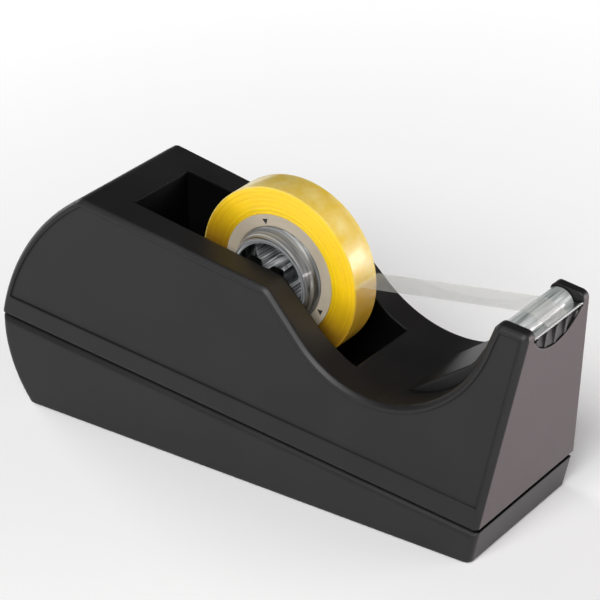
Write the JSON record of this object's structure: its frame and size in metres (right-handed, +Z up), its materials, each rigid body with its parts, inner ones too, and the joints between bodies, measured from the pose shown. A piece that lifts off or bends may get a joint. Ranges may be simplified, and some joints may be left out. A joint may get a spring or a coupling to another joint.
{
  "type": "tape dispenser",
  "caption": "Black desk tape dispenser with weighted wedge base, well with a lift-out hub and roll of yellow tape, finger hollow and serrated cutter",
  "frame": {"origin": "middle of the outline seen from above, on the desk surface under the foot pads", "axes": "+X runs along the dispenser to the cutter, +Z is up, +Y is to the left of someone who faces the cutter end's way"},
  "size_m": [0.2039, 0.0618, 0.0979],
  "materials": {
    "housing_plastic": "fine satin texture, black",
    "base_plastic": "fine satin texture, black",
    "weight_iron": "rough cast",
    "screw_steel": "zinc plated",
    "pad_rubber": "matt",
    "hub_clear": "clear, polished",
    "axle_plastic": "smooth",
    "core_plastic": "satin, pale grey",
    "tape_film": "glossy yellow layers of film",
    "bar_plastic": "clear over silver, polished",
    "holder_plastic": "satin, black",
    "blade_steel": "bright",
    "lead_film": "clear film"
  },
  "bodies": {
    "housing": {"upper_shell": "housing_plastic", "base_tray": "base_plastic", "ballast_block": "weight_iron", "case_screws": "screw_steel", "foot_pad_rear_near": "pad_rubber", "foot_pad_rear_far": "pad_rubber", "foot_pad_front_near": "pad_rubber", "foot_pad_front_far": "pad_rubber", "landing_bar": "bar_plastic", "blade_holder": "holder_plastic", "cutter_blade": "blade_steel", "tape_lead": "lead_film"},
    "axle": {"hub_axle": "axle_plastic"},
    "roll": {"hub_drum": "hub_clear", "tape_core": "core_plastic", "tape_winding": "tape_film"}
  },
  "joints": [
    {"name": "roll_lift", "type": "slide", "parent": "housing", "child": "axle", "axis": [0, 0, 1], "range_m": [0, 0.06]},
    {"name": "roll_spin", "type": "hinge", "parent": "axle", "child": "roll", "pos_m": [-0.0007, 0, 0.0671], "axis": [0, 1, 0], "continuous": true}
  ]
}
